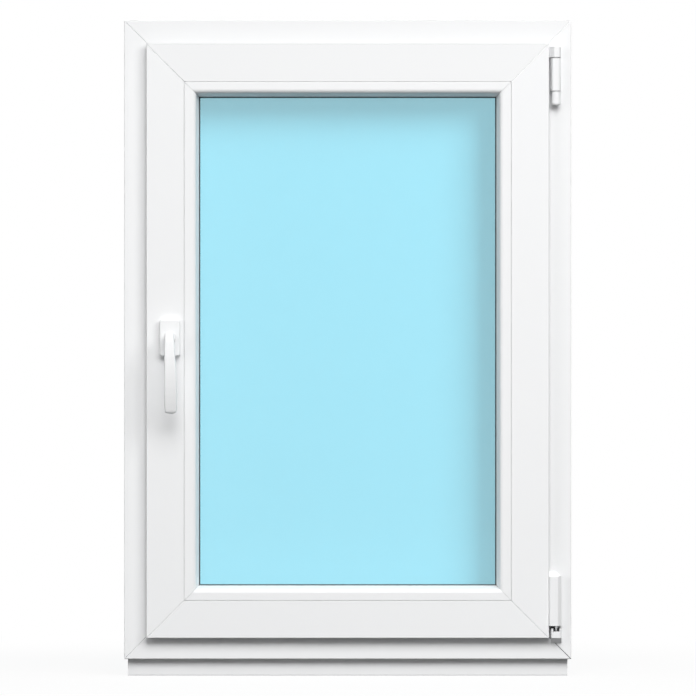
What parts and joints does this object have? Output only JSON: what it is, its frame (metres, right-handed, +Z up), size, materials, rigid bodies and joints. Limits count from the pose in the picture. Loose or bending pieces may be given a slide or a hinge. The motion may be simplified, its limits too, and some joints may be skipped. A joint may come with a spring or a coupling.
{
  "type": "tilt and turn window",
  "caption": "White plastic tilt and turn window, closed, with a welded frame and sash, double glazing, hinges on the right, a lever handle on the left and a base profile below.",
  "frame": {"origin": "middle of the underside of the base profile, half way through the frame's depth", "axes": "+X to the right seen from the room, +Y from the room to the outside, +Z up"},
  "size_m": [0.7, 0.147, 1.026],
  "materials": {
    "frame_plastic": "smooth, slightly glossy",
    "base_plastic": "satin",
    "pane": "clear, tinted light blue",
    "gasket": "matt",
    "spacer": "satin",
    "handle_white": "powder coated, satin",
    "hinge_white": "powder coated, satin",
    "pin_steel": "zinc plated"
  },
  "bodies": {
    "window": {"frame_head": "frame_plastic", "frame_sill": "frame_plastic", "frame_jamb_left": "frame_plastic", "frame_jamb_right": "frame_plastic", "sash_top_rail": "frame_plastic", "sash_bottom_rail": "frame_plastic", "sash_stile_left": "frame_plastic", "sash_stile_right": "frame_plastic", "bead_top": "frame_plastic", "bead_bottom": "frame_plastic", "bead_left": "frame_plastic", "bead_right": "frame_plastic", "inner_pane": "pane", "outer_pane": "pane", "glass_spacer": "spacer", "inner_glazing_gasket": "gasket", "outer_glazing_gasket": "gasket", "frame_seal": "gasket", "sash_seal": "gasket", "base_profile": "base_plastic", "drain_hood_left": "frame_plastic", "drain_hood_right": "frame_plastic", "handle_rosette": "handle_white", "stay_knuckle": "hinge_white", "stay_barrel": "hinge_white", "stay_hinge_pin": "hinge_white", "corner_hinge_cover": "hinge_white", "corner_bearing": "hinge_white", "corner_pivot": "pin_steel"},
    "handle": {"handle_lever": "handle_white"}
  },
  "joints": [
    {"name": "handle_turn", "type": "hinge", "parent": "window", "child": "handle", "pos_m": [-0.278, -0.05, 0.529], "axis": [0, -1, 0], "range_deg": [0, 180]}
  ]
}
